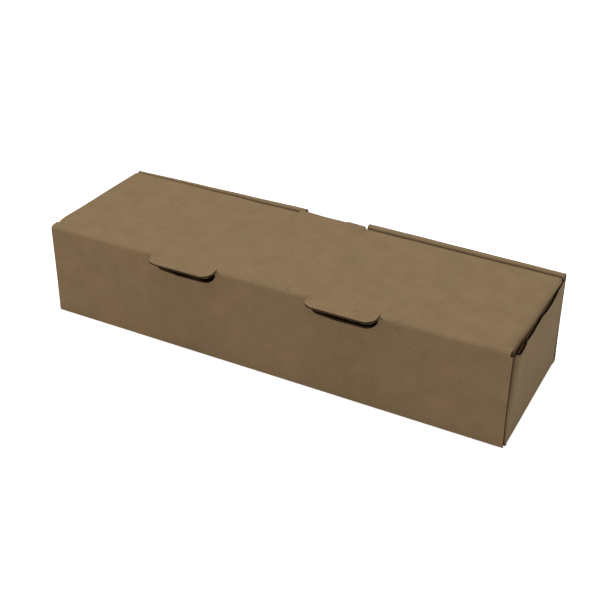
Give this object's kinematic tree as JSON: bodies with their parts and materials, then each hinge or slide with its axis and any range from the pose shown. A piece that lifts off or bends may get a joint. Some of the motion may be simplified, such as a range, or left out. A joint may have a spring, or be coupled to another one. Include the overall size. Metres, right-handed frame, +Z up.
{
  "type": "sandwich box",
  "caption": "Long shallow one-piece sandwich box in plain kraft corrugated board, with a hinged tuck-in lid and D-shaped tabs at the hinge fold.",
  "frame": {"origin": "middle of the underside of the base, on the surface that the box rests on", "axes": "+X along the box's length, +Y from the hinged front wall to the rolled-over rear wall, +Z up"},
  "size_m": [0.2552, 0.0904, 0.0535],
  "materials": {
    "tray_board": "matt unbleached kraft",
    "lid_board": "matt unbleached kraft"
  },
  "bodies": {
    "tray": {"tray": "tray_board"},
    "lid": {"lid": "lid_board"}
  },
  "joints": [
    {"name": "lid_hinge", "type": "hinge", "parent": "tray", "child": "lid", "pos_m": [0, -0.0397, 0.0505], "axis": [1, 0, 0], "range_deg": [0, 175]}
  ]
}
